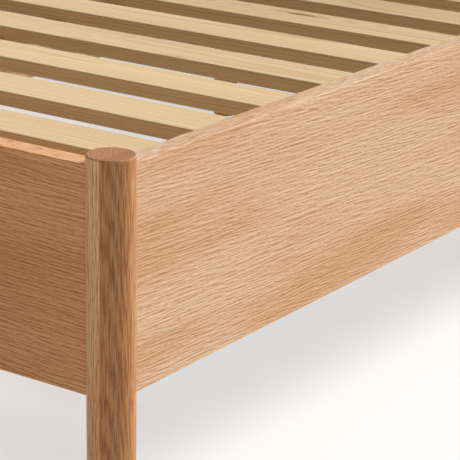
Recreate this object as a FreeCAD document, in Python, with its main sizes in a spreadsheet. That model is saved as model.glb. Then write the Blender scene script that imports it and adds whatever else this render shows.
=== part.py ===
import FreeCAD, Part
import os
import re
import Sketcher

# Bed frame in oak. Four round posts stand a little above the wide flat rails that are let into
# them, the head posts carry a headboard, and loose slats lie on two ledgers and a centre beam.
# Millimetres, +Z up, +Y towards the head, origin on the floor under the middle of the bed.

SIZES = {
    # Mattress and the room left round it
    "mattress_width": 1600,
    "mattress_length": 2000,
    "mattress_clearance": 10,
    # Boards
    "rail_thickness": 25,
    "rail_height": 240,
    "rail_floor_clearance": 160,
    "board_arris": 1,
    "headboard_height": 460,
    "headboard_gap": 30,
    # Posts and the housings cut in them for the board ends
    "post_diameter": 50,
    "post_rise": 12,
    "post_rounding": 2,
    "housing_depth": 6.5,
    "housing_clearance": 0.2,
    # Glides under the posts
    "glide_diameter": 38,
    "glide_thickness": 5,
    "glide_pin_diameter": 6,
    "glide_pin_length": 20,
    # Knock-down fittings of a corner joint
    "fit_gap": 0.1,
    "stud_diameter": 8,
    "stud_projection": 4,
    "stud_clearance": 0.4,
    "insert_diameter": 12,
    "insert_length": 13,
    "recess_diameter": 32,
    "recess_distance": 45,
    "washer_width": 15,
    "washer_depth": 8,
    "nut_across_flats": 13,
    "nut_thickness": 6.5,
    "rail_stud_spacing": 160,
    "headboard_stud_spacing": 300,
    "joint_stagger": 12,
    "dowel_diameter": 10,
    "dowel_length": 40,
    "dowel_post_depth": 12,
    # Slats, straps, staples and pegs
    "slat_drop": 110,
    "slat_thickness": 20,
    "slat_width": 80,
    "slat_end_gap": 3,
    "slat_rounding": 3,
    "strap_width": 28,
    "strap_thickness": 1.5,
    "strap_inset": 160,
    "staple_crown": 12,
    "staple_wire": 1,
    "staple_leg": 9,
    "staple_spacing": 36,
    "peg_diameter": 8,
    "peg_length": 30,
    "peg_slat_depth": 12,
    "peg_clearance": 0.5,
    # Ledgers
    "ledger_width": 30,
    "ledger_height": 40,
    "ledger_setback": 15,
    "ledger_screw_inset": 60,
    # Centre beam and its hangers
    "beam_width": 45,
    "beam_height": 70,
    "hanger_sheet": 3,
    "hanger_depth": 40,
    "hanger_ear": 22,
    "hanger_gap": 0.5,
    "hanger_screw_spacing": 40,
    # Wood screws
    "screw_diameter": 4.5,
    "screw_head_diameter": 9,
    "screw_head_height": 2.4,
    "screw_slot_width": 1.2,
    "screw_slot_depth": 1.1,
    "ledger_screw_length": 45,
    "hanger_screw_length": 20,
    # Centre legs and their screw feet
    "leg_diameter": 40,
    "leg_rounding": 2,
    "leg_spacing": 700,
    "leg_stud_length": 60,
    "leg_stud_beam_depth": 25,
    "adjuster_diameter": 8,
    "adjuster_length": 45,
    "adjuster_gap": 10,
    "adjuster_clearance": 0.5,
    "adjuster_socket_depth": 5,
    "adjuster_socket_gap": 0.3,
    "collar_thickness": 5,
    "pad_diameter": 36,
    "pad_thickness": 8,
    "pad_rounding": 2,
    "leg_nut_diameter": 11,
    "leg_nut_length": 18,
    "leg_nut_flange_diameter": 24,
    "leg_nut_flange_thickness": 1.5,
    # How far a cutting solid runs past the face that it cuts
    "overrun": 5,
}

# Places and lengths that follow from the sizes
FORMULAS = {
    "inner_half_width": "mattress_width / 2 + mattress_clearance",
    "inner_half_length": "mattress_length / 2 + mattress_clearance",
    "post_x": "inner_half_width + rail_thickness / 2",
    "post_y": "inner_half_length + rail_thickness / 2",
    "rail_top": "rail_floor_clearance + rail_height",
    "rail_middle": "rail_floor_clearance + rail_height / 2",
    "headboard_bottom": "rail_top + headboard_gap",
    "headboard_middle": "headboard_bottom + headboard_height / 2",
    "foot_post_top": "rail_top + post_rise",
    "head_post_top": "headboard_bottom + headboard_height + post_rise",
    "housing_floor": "sqrt((post_diameter / 2) ^ 2 - (rail_thickness / 2) ^ 2) - housing_depth",
    "housing_reach": "post_diameter / 2 + overrun",
    "housing_width": "rail_thickness + housing_clearance",
    "side_rail_length": "2 * (post_y - housing_floor)",
    "end_rail_length": "2 * (post_x - housing_floor)",
    "insert_bore": "stud_diameter + 2 * fit_gap",
    "insert_hole": "insert_diameter + 2 * fit_gap",
    "stud_hole": "stud_diameter + 2 * stud_clearance",
    "insert_start": "housing_floor - insert_length",
    "recess_centre": "housing_floor + recess_distance",
    "recess_depth": "(rail_thickness + washer_width) / 2 + fit_gap",
    "washer_face": "recess_centre - recess_diameter / 2 + washer_depth",
    "stud_length": "washer_face + nut_thickness + stud_projection - insert_start",
    "dowel_hole": "dowel_diameter + 2 * fit_gap",
    "dowel_rail_depth": "dowel_length - dowel_post_depth",
    "side_joint_height": "rail_middle - joint_stagger",
    "end_joint_height": "rail_middle + joint_stagger",
    "slat_top": "rail_top - slat_drop",
    "slat_bottom": "slat_top - slat_thickness",
    "slat_length": "2 * (inner_half_width - slat_end_gap)",
    "ledger_length": "mattress_length - 2 * ledger_setback",
    "ledger_x": "inner_half_width - ledger_width / 2",
    "slat_span": "ledger_length - slat_width",
    "strap_x": "inner_half_width - strap_inset",
    "peg_bottom": "slat_bottom + peg_slat_depth - peg_length",
    "peg_hole": "peg_diameter + 2 * fit_gap",
    "screw_hole": "screw_diameter + 2 * fit_gap",
    "ledger_screw_span": "ledger_length - 2 * ledger_screw_inset",
    "ledger_screw_height": "slat_bottom - ledger_height / 2",
    "beam_bottom": "slat_bottom - beam_height",
    "beam_length": "2 * (inner_half_length - hanger_sheet - hanger_gap)",
    "hanger_half_width": "beam_width / 2 + hanger_gap + hanger_sheet",
    "hanger_screw_x": "hanger_half_width + hanger_ear / 2",
    "hanger_screw_height": "slat_bottom - beam_height / 2",
    "collar_bottom": "pad_thickness + adjuster_socket_gap",
    "flange_bottom": "collar_bottom + collar_thickness + adjuster_gap",
    "leg_bottom": "flange_bottom + leg_nut_flange_thickness",
    "leg_stud_bottom": "beam_bottom + leg_stud_beam_depth - leg_stud_length",
    "adjuster_bottom": "pad_thickness - adjuster_socket_depth + adjuster_socket_gap",
    "adjuster_top": "collar_bottom + collar_thickness + adjuster_length",
    "adjuster_hole": "adjuster_diameter + 2 * adjuster_clearance",
    "adjuster_thread": "adjuster_diameter + 2 * fit_gap",
    "glide_pin_hole": "glide_pin_diameter + 2 * fit_gap",
    "leg_nut_hole": "leg_nut_diameter + 2 * fit_gap",
    "peg_slat_hole": "peg_diameter + 2 * peg_clearance",
}

SLAT_COUNT = 14
LEDGER_SCREW_COUNT = 6

doc = FreeCAD.newDocument("bed_frame")
sheet = doc.addObject("Spreadsheet::Sheet", "sizes")
for row, (alias, size) in enumerate(SIZES.items(), start=1):
    sheet.set(f"A{row}", alias)
    sheet.set(f"B{row}", str(size))
    sheet.setAlias(f"B{row}", alias)
doc.recompute()

nodes = []


def formula(text):
    """Write a formula over sizes and places as an expression over the sheet's cells."""

    def spell(match):
        word = match.group()
        if word in FORMULAS:
            return f"({formula(FORMULAS[word])})"
        return f"sizes.{word}" if word in SIZES else word

    return re.sub(r"[a-z_]\w*", spell, text)


def bind(item, bindings):
    """Tie properties of a document object to formulas."""
    for path, text in bindings.items():
        item.setExpression(path, formula(text))


def place(item, x="0", y="0", z="0", turn=0):
    """Turn an object about the upright axis and tie its position to formulas."""
    item.Placement = FreeCAD.Placement(FreeCAD.Vector(), FreeCAD.Rotation(FreeCAD.Vector(0, 0, 1), turn))
    bind(item, {"Placement.Base.x": x, "Placement.Base.y": y, "Placement.Base.z": z})
    return item


def finish(item, label):
    """Name a finished sub-part and list it for writing."""
    item.Label = label
    nodes.append(item)
    return item


# Sketches and features of a body


def origin_plane(body, role):
    return next(feature for feature in body.Origin.OriginFeatures if feature.Role == role)


def sketch(body, name, role, across="0", up="0", lift="0"):
    """Start a sketch parallel to an origin plane, with its own origin moved by formulas."""
    profile = body.newObject("Sketcher::SketchObject", name)
    profile.AttachmentSupport = [(origin_plane(body, role), "")]
    profile.MapMode = "FlatFace"
    offsets = {"x": across, "y": up, "z": lift}
    bind(profile, {f"AttachmentOffset.Base.{axis}": text for axis, text in offsets.items()})
    return profile


def dimension(profile, name, constraint, text):
    """Add a named dimension to a sketch and tie it to a formula."""
    index = profile.addConstraint(constraint)
    profile.renameConstraint(index, name)
    bind(profile, {f"Constraints.{name}": text})


def rectangle(profile, width, height):
    """Draw a rectangle centred on the sketch's origin."""
    corners = [FreeCAD.Vector(x, y, 0) for x, y in ((-1, -1), (1, -1), (1, 1), (-1, 1))]
    for side in range(4):
        profile.addGeometry(Part.LineSegment(corners[side], corners[(side + 1) % 4]), False)
    for side in range(4):
        profile.addConstraint(Sketcher.Constraint("Coincident", side, 2, (side + 1) % 4, 1))
        profile.addConstraint(Sketcher.Constraint("Vertical" if side % 2 else "Horizontal", side))
    profile.addConstraint(Sketcher.Constraint("Symmetric", 0, 1, 1, 2, -1, 1))
    dimension(profile, "width", Sketcher.Constraint("DistanceX", 0, 1, 0, 2, 2), width)
    dimension(profile, "height", Sketcher.Constraint("DistanceY", 1, 1, 1, 2, 2), height)
    return profile


def circle(profile, diameter):
    """Draw a circle centred on the sketch's origin."""
    profile.addGeometry(Part.Circle(FreeCAD.Vector(), FreeCAD.Vector(0, 0, 1), 1), False)
    profile.addConstraint(Sketcher.Constraint("Coincident", 0, 3, -1, 1))
    dimension(profile, "diameter", Sketcher.Constraint("Diameter", 0, 2), diameter)
    return profile


def circle_pair(profile, diameter, spacing):
    """Draw two equal circles, one above and one below the sketch's origin."""
    for side in (-1, 1):
        profile.addGeometry(Part.Circle(FreeCAD.Vector(0, side, 0), FreeCAD.Vector(0, 0, 1), 1 / 2), False)
    profile.addConstraint(Sketcher.Constraint("Equal", 0, 1))
    profile.addConstraint(Sketcher.Constraint("PointOnObject", 0, 3, -2))
    profile.addConstraint(Sketcher.Constraint("Symmetric", 0, 3, 1, 3, -1, 1))
    dimension(profile, "diameter", Sketcher.Constraint("Diameter", 0, 1), diameter)
    dimension(profile, "spacing", Sketcher.Constraint("DistanceY", 0, 3, 1, 3, 2), spacing)
    return profile


def pad(body, profile, length, both_ways=False):
    feature = body.newObject("PartDesign::Pad", f"{profile.Name}_pad")
    feature.Profile = profile
    feature.SideType = "Symmetric" if both_ways else "One side"
    bind(feature, {"Length": length})
    doc.recompute()
    return feature


def pocket(body, profile, depth, along_normal=False):
    """Cut a sketch into the body and make sure that it took something away."""
    before = body.Tip.Shape.Volume
    feature = body.newObject("PartDesign::Pocket", f"{profile.Name}_cut")
    feature.Profile = profile
    feature.Reversed = along_normal
    bind(feature, {"Length": depth})
    doc.recompute()
    if not feature.Shape.Volume < before:
        raise RuntimeError(f"{feature.Name} cuts nothing")
    return feature


def mirrored(body, features, role="YZ_Plane"):
    """Repeat cuts on the other side of an origin plane."""
    before = body.Tip.Shape.Volume
    feature = body.newObject("PartDesign::Mirrored", f"{features[0].Name}_mirrored")
    feature.Originals = features
    feature.MirrorPlane = (origin_plane(body, role), [""])
    body.Tip = feature
    doc.recompute()
    if not feature.Shape.Volume < before:
        raise RuntimeError(f"{feature.Name} cuts nothing")
    return feature


def row_of(body, cut, axis_role, span, count):
    """Repeat a cut at equal steps along an origin axis."""
    feature = body.newObject("PartDesign::LinearPattern", f"{cut.Name}_row")
    feature.Originals = [cut]
    feature.Direction = (origin_plane(body, axis_role), [""])
    feature.Occurrences = count
    bind(feature, {"Length": span})
    body.Tip = feature
    doc.recompute()
    return feature


def rounded(body, edge_test, radius):
    """Round the edges of the body's last shape that pass a test."""
    base = body.Tip
    edges = [f"Edge{number}" for number, edge in enumerate(base.Shape.Edges, start=1) if edge_test(edge)]
    feature = body.newObject("PartDesign::Fillet", f"{base.Name}_rounded")
    feature.Base = (base, edges)
    bind(feature, {"Radius": radius})
    doc.recompute()
    return feature


def runs_along_x(edge):
    return edge.Length * 0.999 < edge.BoundBox.XLength


def is_ring(edge):
    return isinstance(edge.Curve, Part.Circle)


def new_body(label):
    return finish(doc.addObject("PartDesign::Body", label), label)


# Primitives and their booleans


def solid(kind, name, sizes):
    """Make a Part primitive with its sizes tied to formulas."""
    item = doc.addObject(kind, name)
    bind(item, sizes)
    return item


def box(name, length, width, height, x, y, z):
    """Make a box centred on x and y that stands on z."""
    item = solid("Part::Box", name, {"Length": length, "Width": width, "Height": height})
    return place(item, f"{x} - ({length}) / 2", f"{y} - ({width}) / 2", z)


def rod(name, diameter, length, start="0"):
    """Make a round rod along +X."""
    item = solid("Part::Cylinder", name, {"Radius": f"({diameter}) / 2", "Height": length})
    return lay_along_x(item, start)


def hexagon(name, across_flats, length, start="0"):
    """Make a hexagonal rod along +X."""
    item = solid("Part::Prism", name, {"Circumradius": f"({across_flats}) / sqrt(3)", "Height": length})
    return lay_along_x(item, start)


def lay_along_x(item, start):
    item.Placement = FreeCAD.Placement(FreeCAD.Vector(), FreeCAD.Rotation(FreeCAD.Vector(0, 1, 0), 90))
    bind(item, {"Placement.Base.x": start})
    return item


def cut(name, base, tool):
    item = doc.addObject("Part::Cut", name)
    item.Base = base
    item.Tool = tool
    return item


def fuse(name, shapes):
    item = doc.addObject("Part::MultiFuse", name)
    item.Shapes = shapes
    return item


def copies(name, original, places):
    """Place linked copies of one shape and gather them as separate solids."""
    links = []
    for number, (x, y, z, turn) in enumerate(places, start=1):
        link = doc.addObject("App::Link", f"{name}_{number}")
        link.LinkedObject = original
        link.LinkTransform = True
        links.append(place(link, x, y, z, turn))
    group = doc.addObject("Part::Compound", name)
    group.Links = links
    return group


# Boards and posts

# Corner joints: position of the post's axis, the way the board leaves it, the middle height and
# the spacing of its two studs
corner_joints = []


def board(label, length, height, middle, spacing):
    """Make a flat board with fittings for a post at both ends; its hidden face is +Y, its foot z = 0."""
    body = new_body(label)
    section = sketch(body, f"{label}_section", "YZ_Plane", up=f"({height}) / 2")
    pad(body, rectangle(section, "rail_thickness", height), length, both_ways=True)
    rounded(body, runs_along_x, "board_arris")
    end = f"({length}) / 2"
    face = "-rail_thickness / 2"
    recess = sketch(body, f"{label}_recess", "XZ_Plane", f"{end} - recess_distance", middle, face)
    bore = sketch(body, f"{label}_bore", "YZ_Plane", up=middle, lift=end)
    socket = sketch(body, f"{label}_socket", "YZ_Plane", up=middle, lift=end)
    cuts = [
        pocket(body, circle_pair(recess, "recess_diameter", spacing), "recess_depth", along_normal=True),
        pocket(body, circle_pair(bore, "stud_hole", spacing), "recess_distance"),
        pocket(body, circle(socket, "dowel_hole"), "dowel_rail_depth + fit_gap"),
    ]
    mirrored(body, cuts)
    return body


def make_side_rails():
    """Long rails, drilled on the inside for the screws of the ledgers."""
    for label, x, turn in (("side_rail_left", "-post_x", -90), ("side_rail_right", "post_x", 90)):
        middle = "side_joint_height - rail_floor_clearance"
        body = board(label, "side_rail_length", "rail_height", middle, "rail_stud_spacing")
        height = "ledger_screw_height - rail_floor_clearance"
        pilot = sketch(
            body, f"{label}_pilot", "XZ_Plane", "-ledger_screw_span / 2", height, "-rail_thickness / 2"
        )
        depth = "ledger_screw_length - ledger_width + fit_gap"
        first = pocket(body, circle(pilot, "screw_hole"), depth, along_normal=True)
        row_of(body, first, "X_Axis", "ledger_screw_span", LEDGER_SCREW_COUNT)
        place(body, x, "0", "rail_floor_clearance", turn)


def make_end_rails():
    """Foot and head rails, drilled on the inside for the screws of the beam hangers."""
    for label, y, turn in (("foot_rail", "-post_y", 0), ("head_rail", "post_y", 180)):
        middle = "end_joint_height - rail_floor_clearance"
        body = board(label, "end_rail_length", "rail_height", middle, "rail_stud_spacing")
        height = "hanger_screw_height - rail_floor_clearance"
        pilot = sketch(body, f"{label}_pilot", "XZ_Plane", "hanger_screw_x", height, "-rail_thickness / 2")
        depth = "hanger_screw_length - hanger_sheet + fit_gap"
        pair = circle_pair(pilot, "screw_hole", "hanger_screw_spacing")
        mirrored(body, [pocket(body, pair, depth, along_normal=True)])
        place(body, "0", y, "rail_floor_clearance", turn)


def make_headboard():
    """Panel between the head posts, with its fittings on the back."""
    label = "headboard_panel"
    middle = "headboard_height / 2"
    body = board(label, "end_rail_length", "headboard_height", middle, "headboard_stud_spacing")
    place(body, "0", "post_y", "headboard_bottom")


def housing(body, name, along_x, bottom, height, middle, spacing):
    """Cut the slot for a board's end in a post, with the holes for its inserts and dowel."""
    centre = "(housing_reach + housing_floor) / 2"
    depth = "housing_reach - housing_floor"
    if along_x:
        slot = sketch(body, f"{name}_slot", "XY_Plane", centre, "0", bottom)
        rectangle(slot, depth, "housing_width")
        plane, floor = "YZ_Plane", "housing_floor"
    else:
        slot = sketch(body, f"{name}_slot", "XY_Plane", "0", centre, bottom)
        rectangle(slot, "housing_width", depth)
        plane, floor = "XZ_Plane", "-(housing_floor)"
    pocket(body, slot, height, along_normal=True)
    holes = circle_pair(sketch(body, f"{name}_holes", plane, "0", middle, floor), "insert_hole", spacing)
    pocket(body, holes, "insert_length", along_normal=not along_x)
    socket = circle(sketch(body, f"{name}_socket", plane, "0", middle, floor), "dowel_hole")
    pocket(body, socket, "dowel_post_depth + fit_gap", along_normal=not along_x)


def make_posts():
    """Round posts on glides; the quarter turns bring both housings round to the inside of the bed."""
    corners = {
        "foot_post_left": ("-post_x", "-post_y", 0, "foot_post_top"),
        "foot_post_right": ("post_x", "-post_y", 1, "foot_post_top"),
        "head_post_right": ("post_x", "post_y", 2, "head_post_top"),
        "head_post_left": ("-post_x", "post_y", 3, "head_post_top"),
    }
    for label, (x, y, quarter, top) in corners.items():
        body = new_body(label)
        section = sketch(body, f"{label}_section", "XY_Plane", lift="glide_thickness")
        pad(body, circle(section, "post_diameter"), f"{top} - glide_thickness")
        rounded(body, is_ring, "post_rounding")
        end_along_x = quarter % 2 == 0
        rails = {"end": (end_along_x, "end_joint_height"), "side": (not end_along_x, "side_joint_height")}
        for rail, (along_x, middle) in rails.items():
            name = f"{label}_{rail}"
            housing(body, name, along_x, "rail_floor_clearance", "rail_height", middle, "rail_stud_spacing")
            way = 90 * quarter + (0 if along_x else 90)
            corner_joints.append((x, y, way, middle, "rail_stud_spacing"))
        if top == "head_post_top":
            name = f"{label}_headboard"
            middle, spacing = "headboard_middle", "headboard_stud_spacing"
            housing(body, name, end_along_x, "headboard_bottom", "headboard_height", middle, spacing)
            way = 90 * quarter + (0 if end_along_x else 90)
            corner_joints.append((x, y, way, middle, spacing))
        pin = sketch(body, f"{label}_pin", "XY_Plane", lift="glide_thickness")
        pocket(body, circle(pin, "glide_pin_hole"), "glide_pin_length + fit_gap", along_normal=True)
        place(body, x, y, "0", 90 * quarter)
        make_glide(label.replace("post", "glide"), x, y)


def make_glide(label, x, y):
    """Round nylon glide with a pin that is knocked into the foot of a post."""
    disc = {"Radius": "glide_diameter / 2", "Height": "glide_thickness"}
    pin = {"Radius": "glide_pin_diameter / 2", "Height": "glide_thickness + glide_pin_length"}
    shapes = [
        place(solid("Part::Cylinder", f"{label}_disc", disc), x, y),
        place(solid("Part::Cylinder", f"{label}_pin", pin), x, y),
    ]
    finish(fuse(label, shapes), label)


# Knock-down fittings


def make_corner_fittings():
    """Inserts, studs, washers, nuts and dowels, each modelled along +X from the axis of a post."""
    ends = [
        (x, y, f"{middle} {sign} {spacing} / 2", way)
        for x, y, way, middle, spacing in corner_joints
        for sign in "-+"
    ]
    middles = [(x, y, middle, way) for x, y, way, middle, spacing in corner_joints]
    sleeve = rod("insert_sleeve", "insert_diameter", "insert_length", "insert_start")
    thread = rod("insert_thread", "insert_bore", "insert_length + 2 * overrun", "insert_start - overrun")
    finish(copies("post_inserts", cut("insert", sleeve, thread), ends), "post_inserts")
    stud = rod("stud", "stud_diameter", "stud_length", "insert_start")
    finish(copies("rail_studs", stud, ends), "rail_studs")
    finish(copies("crescent_washers", crescent_washer(), ends), "crescent_washers")
    nut = nut_with_hole("nut", "washer_face", "nut_thickness")
    finish(copies("stud_nuts", nut, ends), "stud_nuts")
    dowel = rod("dowel", "dowel_diameter", "dowel_length", "housing_floor - dowel_post_depth")
    finish(copies("locating_dowels", dowel, middles), "locating_dowels")


def crescent_washer():
    """Segment of a disc that bears on the round wall of the recess, drilled for the stud."""
    disc = solid(
        "Part::Cylinder", "washer_disc", {"Radius": "recess_diameter / 2 - fit_gap", "Height": "washer_width"}
    )
    disc.Placement = FreeCAD.Placement(FreeCAD.Vector(), FreeCAD.Rotation(FreeCAD.Vector(1, 0, 0), 90))
    bind(disc, {"Placement.Base.x": "recess_centre", "Placement.Base.y": "washer_width / 2"})
    keep = box(
        "washer_keep",
        "washer_depth + overrun",
        "washer_width + overrun",
        "recess_diameter",
        "washer_face - (washer_depth + overrun) / 2",
        "0",
        "-recess_diameter / 2",
    )
    segment = doc.addObject("Part::Common", "washer_segment")
    segment.Base = disc
    segment.Tool = keep
    hole = rod("washer_hole", "stud_hole", "recess_diameter + 2 * overrun", "washer_face - recess_diameter")
    return cut("washer", segment, hole)


def nut_with_hole(name, start, thickness):
    """Hexagon nut along +X on a stud."""
    blank = hexagon(f"{name}_blank", "nut_across_flats", thickness, start)
    hole = rod(f"{name}_hole", "insert_bore", f"{thickness} + 2 * overrun", f"{start} - overrun")
    return cut(name, blank, hole)


# Slats and what carries them


def slat_place(number):
    return f"slat_span * {number} / {SLAT_COUNT - 1} - slat_span / 2"


def make_slats():
    """Loose slats across the bed; the first and last have holes for the pegs of the ledgers."""
    for number in range(SLAT_COUNT):
        label = f"slat_{number + 1:02d}"
        body = new_body(label)
        section = sketch(body, f"{label}_section", "YZ_Plane", up="slat_thickness / 2")
        pad(body, rectangle(section, "slat_width", "slat_thickness"), "slat_length", both_ways=True)
        rounded(body, runs_along_x, "slat_rounding")
        if number in (0, SLAT_COUNT - 1):
            hole = circle(sketch(body, f"{label}_hole", "XY_Plane", "ledger_x"), "peg_slat_hole")
            mirrored(body, [pocket(body, hole, "slat_thickness", along_normal=True)])
        place(body, "0", slat_place(number), "slat_bottom")


def make_straps():
    """Two webbing straps along the slats, held by staples, two on each slat."""
    length = "slat_span + slat_width"
    for label, x in (("slat_strap_left", "-strap_x"), ("slat_strap_right", "strap_x")):
        finish(box(label, "strap_width", length, "strap_thickness", x, "0", "slat_top"), label)
    crown_z = "slat_top + strap_thickness"
    crown = box("staple_crown_bar", "staple_crown", "staple_wire", "staple_wire", "0", "0", crown_z)
    reach = "staple_leg + staple_wire"
    foot = "slat_top + strap_thickness - staple_leg"
    offset = "(staple_crown - staple_wire) / 2"
    legs = [
        box(f"staple_leg_{side}", "staple_wire", "staple_wire", reach, f"{sign}{offset}", "0", foot)
        for side, sign in (("left", "-"), ("right", ""))
    ]
    places = [
        (x, f"{slat_place(number)} {sign} staple_spacing / 2", "0", 0)
        for x in ("-strap_x", "strap_x")
        for number in range(SLAT_COUNT)
        for sign in "-+"
    ]
    finish(copies("strap_staples", fuse("staple", [crown] + legs), places), "strap_staples")


def make_pegs():
    """Wooden pegs that stand in the ledgers and keep the end slats in place."""
    peg = solid("Part::Cylinder", "peg", {"Radius": "peg_diameter / 2", "Height": "peg_length"})
    finish(copies("slat_pegs", peg, peg_places()), "slat_pegs")


def peg_places():
    return [
        (x, slat_place(number), "peg_bottom", 0)
        for x in ("-ledger_x", "ledger_x")
        for number in (0, SLAT_COUNT - 1)
    ]


def screw(name, length, gap="0"):
    """Countersunk wood screw along +X, its head's face at 0; a gap makes it the shape of its hole."""
    head_sizes = {
        "Radius1": f"screw_head_diameter / 2 + {gap}",
        "Radius2": f"screw_diameter / 2 + {gap}",
        "Height": "screw_head_height",
    }
    head = lay_along_x(solid("Part::Cone", f"{name}_head", head_sizes), "0")
    shank = rod(f"{name}_shank", f"screw_diameter + 2 * {gap}", length)
    return fuse(name, [head, shank])


def slotted(name, blank):
    """Cut a cross recess in the head of a screw."""
    reach = "2 * screw_slot_depth"
    arm = "screw_head_diameter / 2"
    half_width = "screw_slot_width / 2"
    arms = [
        box(f"{name}_upright", reach, "screw_slot_width", arm, "0", "0", "-screw_head_diameter / 4"),
        box(f"{name}_level", reach, arm, "screw_slot_width", "0", "0", f"-{half_width}"),
    ]
    return cut(f"{name}_crossed", blank, fuse(f"{name}_cross", arms))


def ledger_screw_places():
    """Screw heads on the inner faces of the ledgers, pointing outwards."""
    face = "inner_half_width - ledger_width"
    steps = [
        f"ledger_screw_span * {number} / {LEDGER_SCREW_COUNT - 1} - ledger_screw_span / 2"
        for number in range(LEDGER_SCREW_COUNT)
    ]
    return {
        "left": [(f"-({face})", y, "ledger_screw_height", 180) for y in steps],
        "right": [(face, y, "ledger_screw_height", 0) for y in steps],
    }


def make_ledgers():
    """Strips screwed inside the side rails, drilled for the screws and the pegs."""
    hole = screw("ledger_screw_hole", "ledger_screw_length", "fit_gap")
    peg_hole = solid("Part::Cylinder", "peg_hole_rod", {"Radius": "peg_hole / 2", "Height": "peg_length"})
    places = ledger_screw_places()
    for side, x in (("left", "-ledger_x"), ("right", "ledger_x")):
        label = f"side_ledger_{side}"
        z = "slat_bottom - ledger_height"
        strip = box(f"{label}_strip", "ledger_width", "ledger_length", "ledger_height", x, "0", z)
        pegs = [spot for spot in peg_places() if spot[0] == x]
        holes = fuse(
            f"{label}_holes",
            [
                copies(f"{label}_screw_holes", hole, places[side]),
                copies(f"{label}_peg_holes", peg_hole, pegs),
            ],
        )
        finish(cut(label, strip, holes), label)
    crossed = slotted("ledger_screw", screw("ledger_screw_blank", "ledger_screw_length"))
    finish(copies("ledger_screws", crossed, places["left"] + places["right"]), "ledger_screws")


def make_beam():
    """Beam under the middle of the slats, bored from below for the inserts and studs of its legs."""
    label = "centre_beam"
    body = new_body(label)
    section = sketch(body, f"{label}_section", "XZ_Plane", up="beam_height / 2")
    pad(body, rectangle(section, "beam_width", "beam_height"), "beam_length", both_ways=True)
    leg = "leg_spacing / 2"
    insert = circle(sketch(body, f"{label}_insert", "XY_Plane", "0", leg), "insert_hole")
    bore = circle(sketch(body, f"{label}_bore", "XY_Plane", "0", leg), "stud_hole")
    cuts = [
        pocket(body, insert, "insert_length", along_normal=True),
        pocket(body, bore, "leg_stud_beam_depth + fit_gap", along_normal=True),
    ]
    mirrored(body, cuts, "XZ_Plane")
    place(body, "0", "0", "beam_bottom")


def hanger_screw_places(y, way):
    return [
        (f"{x_sign}hanger_screw_x", y, f"hanger_screw_height {z_sign} hanger_screw_spacing / 2", way)
        for x_sign in ("-", "")
        for z_sign in "-+"
    ]


def make_hangers():
    """Folded sheet hangers on the foot and head rails that hold the ends of the beam."""
    hole = screw("hanger_screw_hole", "hanger_screw_length", "fit_gap")
    height = "beam_height + hanger_sheet"
    foot = "beam_bottom - hanger_sheet"
    width = "2 * (hanger_half_width + hanger_ear)"
    seat_width = "2 * hanger_half_width"
    screws = []
    for end, sign, way in (("foot", "-", -90), ("head", "", 90)):
        label = f"beam_hanger_{end}"
        back_y = f"{sign}(inner_half_length - hanger_sheet / 2)"
        seat_y = f"{sign}(inner_half_length - hanger_depth / 2)"
        cheek_x = "(hanger_half_width - hanger_sheet / 2)"
        folds = [
            box(f"{label}_back", width, "hanger_sheet", height, "0", back_y, foot),
            box(f"{label}_seat", seat_width, "hanger_depth", "hanger_sheet", "0", seat_y, foot),
            box(f"{label}_left", "hanger_sheet", "hanger_depth", height, f"-{cheek_x}", seat_y, foot),
            box(f"{label}_right", "hanger_sheet", "hanger_depth", height, cheek_x, seat_y, foot),
        ]
        places = hanger_screw_places(f"{sign}(inner_half_length - hanger_sheet)", way)
        screws += places
        finish(cut(label, fuse(f"{label}_folds", folds), copies(f"{label}_holes", hole, places)), label)
    crossed = slotted("hanger_screw", screw("hanger_screw_blank", "hanger_screw_length"))
    finish(copies("hanger_screws", crossed, screws), "hanger_screws")


# Centre legs and their screw feet


def make_legs():
    """Turned legs under the beam, each on a screw foot."""
    spots = {"foot": "-leg_spacing / 2", "head": "leg_spacing / 2"}
    for end, y in spots.items():
        label = f"centre_leg_{end}"
        body = new_body(label)
        section = sketch(body, f"{label}_section", "XY_Plane", lift="leg_bottom")
        pad(body, circle(section, "leg_diameter"), "beam_bottom - leg_bottom")
        rounded(body, is_ring, "leg_rounding")
        top = sketch(body, f"{label}_stud", "XY_Plane", lift="beam_bottom")
        pocket(body, circle(top, "insert_bore"), "leg_stud_length - leg_stud_beam_depth + fit_gap")
        seat = sketch(body, f"{label}_nut", "XY_Plane", lift="leg_bottom")
        pocket(body, circle(seat, "leg_nut_hole"), "leg_nut_length + fit_gap", along_normal=True)
        bore = sketch(body, f"{label}_bore", "XY_Plane", lift="leg_bottom")
        depth = "adjuster_top - leg_bottom + adjuster_gap"
        pocket(body, circle(bore, "adjuster_hole"), depth, along_normal=True)
        place(body, "0", y, "0")
        make_screw_foot(end, y)
    upright = [("0", y, "0", 0) for y in spots.values()]
    stud = solid("Part::Cylinder", "leg_stud", {"Radius": "stud_diameter / 2", "Height": "leg_stud_length"})
    finish(copies("leg_studs", place(stud, z="leg_stud_bottom"), upright), "leg_studs")
    sleeve = upright_tube("beam_insert", "insert_diameter", "insert_bore", "insert_length", "beam_bottom")
    finish(copies("beam_inserts", sleeve, upright), "beam_inserts")
    finish(copies("leg_nuts", leg_nut(), upright), "leg_nuts")


def upright_tube(name, outside, inside, length, bottom):
    """Make a round tube along Z."""
    wall = solid("Part::Cylinder", f"{name}_wall", {"Radius": f"({outside}) / 2", "Height": length})
    hole_sizes = {"Radius": f"({inside}) / 2", "Height": f"{length} + 2 * overrun"}
    hole = solid("Part::Cylinder", f"{name}_hole", hole_sizes)
    return cut(name, place(wall, z=bottom), place(hole, z=f"{bottom} - overrun"))


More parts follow.
